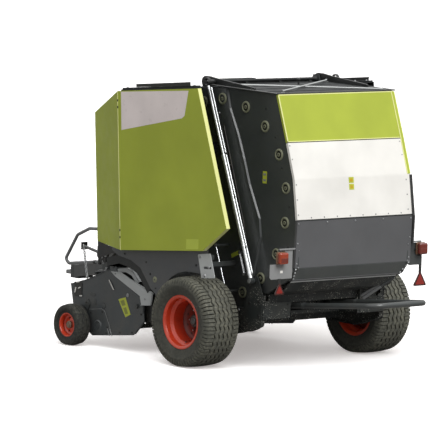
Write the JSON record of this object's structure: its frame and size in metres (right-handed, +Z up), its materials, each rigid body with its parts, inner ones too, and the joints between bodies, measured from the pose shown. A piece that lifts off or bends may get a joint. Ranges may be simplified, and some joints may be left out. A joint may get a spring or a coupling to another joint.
{
  "type": "round baler",
  "caption": "Towed round baler with a fixed roller chamber, lifting tailgate, gull-wing side hoods, pickup with gauge wheels, and a drawbar on a parking jack.",
  "frame": {"origin": "on the ground, below the middle of the overall length and width", "axes": "+X forward to the tractor, +Y to the left of the machine, +Z up"},
  "size_m": [4.63, 2.448, 2.527],
  "materials": {
    "lime_paint": "gloss powder coat",
    "white_paint": "gloss powder coat",
    "grey_paint": "satin powder coat",
    "dark_paint": "satin powder coat",
    "light_grey_paint": "satin powder coat",
    "rim_paint": "gloss enamel",
    "tyre_rubber": "matt rubber",
    "chrome_plate": "hard chrome",
    "roller_steel": "crop-polished steel",
    "zinc_plate": "zinc plated",
    "lamp_plastic": "moulded lens",
    "reflector_plastic": "prismatic reflector"
  },
  "bodies": {
    "frame": {"chassis_frame": "dark_paint", "axle_beam": "dark_paint", "axle_hangers": "dark_paint", "drawbar": "dark_paint", "jack_tube": "dark_paint", "jack_leg": "zinc_plate", "gearbox": "grey_paint", "left_side_wall": "dark_paint", "right_side_wall": "dark_paint", "hinge_tube": "dark_paint", "front_wall": "dark_paint", "front_roof": "dark_paint", "wall_stays": "dark_paint", "net_box": "dark_paint", "side_skirts": "dark_paint", "frame_rollers": "roller_steel", "frame_bearings": "grey_paint", "roller_sprockets": "zinc_plate", "feed_floor": "roller_steel", "guard_hoops": "light_grey_paint"},
    "tailgate": {"left_gate_side": "dark_paint", "right_gate_side": "dark_paint", "left_gate_arm": "dark_paint", "right_gate_arm": "dark_paint", "gate_panel_upper": "lime_paint", "gate_panel_middle": "white_paint", "gate_panel_lower": "grey_paint", "gate_sill": "light_grey_paint", "gate_roof": "dark_paint", "roof_braces": "light_grey_paint", "gate_rollers": "roller_steel", "gate_bearings": "grey_paint", "lamp_brackets": "light_grey_paint", "tail_lamps": "lamp_plastic", "reflectors": "reflector_plastic"},
    "left_barrel": {"left_cylinder_barrel": "chrome_plate"},
    "left_rod": {"left_cylinder_rod": "chrome_plate"},
    "right_barrel": {"right_cylinder_barrel": "chrome_plate"},
    "right_rod": {"right_cylinder_rod": "chrome_plate"},
    "left_hood_door": {"left_hood": "lime_paint"},
    "right_hood_door": {"right_hood": "lime_paint"},
    "net_box_lid": {"net_lid": "dark_paint"},
    "left_wheel": {"left_tyre": "tyre_rubber", "left_rim": "rim_paint"},
    "right_wheel": {"right_tyre": "tyre_rubber", "right_rim": "rim_paint"},
    "pickup": {"pickup_sides": "dark_paint", "pickup_bands": "roller_steel", "pickup_tray": "dark_paint", "pickup_straps": "light_grey_paint", "gauge_arms": "dark_paint"},
    "reel": {"pickup_reel": "dark_paint"},
    "crop_guard": {"wind_guard": "dark_paint"},
    "left_gauge_wheel": {"left_gauge_tyre": "tyre_rubber", "left_gauge_rim": "rim_paint"},
    "right_gauge_wheel": {"right_gauge_tyre": "tyre_rubber", "right_gauge_rim": "rim_paint"},
    "rotor": {"feed_rotor": "dark_paint"},
    "kicker": {"bale_kicker": "dark_paint"}
  },
  "joints": [
    {"name": "tailgate_hinge", "type": "hinge", "parent": "frame", "child": "tailgate", "pos_m": [-0.38, 0, 2.477], "axis": [0, 1, 0], "range_deg": [0, 60]},
    {"name": "left_hood_hinge", "type": "hinge", "parent": "frame", "child": "left_hood_door", "pos_m": [-0.3, 1.104, 2.39268], "axis": [0.9959, 0, -0.0903], "range_deg": [0, 75]},
    {"name": "right_hood_hinge", "type": "hinge", "parent": "frame", "child": "right_hood_door", "pos_m": [-0.3, -1.104, 2.39268], "axis": [-0.9959, 0, 0.0903], "range_deg": [0, 75]},
    {"name": "net_lid_hinge", "type": "hinge", "parent": "frame", "child": "net_box_lid", "pos_m": [0.34172, 0, 2.3513], "axis": [0, -1, 0], "range_deg": [0, 60]},
    {"name": "left_wheel_spin", "type": "hinge", "parent": "frame", "child": "left_wheel", "pos_m": [-0.742, 1.029, 0.4], "axis": [0, 1, 0], "continuous": true},
    {"name": "right_wheel_spin", "type": "hinge", "parent": "frame", "child": "right_wheel", "pos_m": [-0.742, -1.029, 0.4], "axis": [0, 1, 0], "continuous": true},
    {"name": "pickup_lift", "type": "hinge", "parent": "frame", "child": "pickup", "pos_m": [0.13, 0, 0.435], "axis": [0, -1, 0], "range_deg": [0, 12]},
    {"name": "reel_spin", "type": "hinge", "parent": "pickup", "child": "reel", "pos_m": [0.61, 0, 0.385], "axis": [0, 1, 0], "continuous": true},
    {"name": "crop_guard_hinge", "type": "hinge", "parent": "pickup", "child": "crop_guard", "pos_m": [0.49, 0, 0.76], "axis": [0, -1, 0], "range_deg": [0, 15]},
    {"name": "left_gauge_spin", "type": "hinge", "parent": "pickup", "child": "left_gauge_wheel", "pos_m": [0.925, 1.066, 0.19], "axis": [0, 1, 0], "continuous": true},
    {"name": "right_gauge_spin", "type": "hinge", "parent": "pickup", "child": "right_gauge_wheel", "pos_m": [0.925, -1.066, 0.19], "axis": [0, 1, 0], "continuous": true},
    {"name": "rotor_spin", "type": "hinge", "parent": "frame", "child": "rotor", "pos_m": [0.135, 0, 0.57], "axis": [0, 1, 0], "continuous": true},
    {"name": "kicker_hinge", "type": "hinge", "parent": "frame", "child": "kicker", "pos_m": [-1.03, 0, 0.531], "axis": [0, 1, 0], "range_deg": [-20, 0]},
    {"name": "left_barrel_pivot", "type": "hinge", "parent": "frame", "child": "left_barrel", "pos_m": [-1.175, 0.762, 0.787], "axis": [0, 1, 0], "range_deg": [-3, 3]},
    {"name": "left_rod_slide", "type": "slide", "parent": "left_barrel", "child": "left_rod", "axis": [0.3647, 0, 0.9311], "range_m": [0, 0.16]},
    {"name": "right_barrel_pivot", "type": "hinge", "parent": "frame", "child": "right_barrel", "pos_m": [-1.175, -0.762, 0.787], "axis": [0, 1, 0], "range_deg": [-3, 3]},
    {"name": "right_rod_slide", "type": "slide", "parent": "right_barrel", "child": "right_rod", "axis": [0.3647, 0, 0.9311], "range_m": [0, 0.16]}
  ],
  "couplings": [
    {"joint": "left_barrel_pivot", "follows": "tailgate_hinge", "ratio": 0.0077},
    {"joint": "left_rod_slide", "follows": "tailgate_hinge", "m_per_rad": 0.1238},
    {"joint": "right_barrel_pivot", "follows": "tailgate_hinge", "ratio": 0.0077},
    {"joint": "right_rod_slide", "follows": "tailgate_hinge", "m_per_rad": 0.1238}
  ]
}
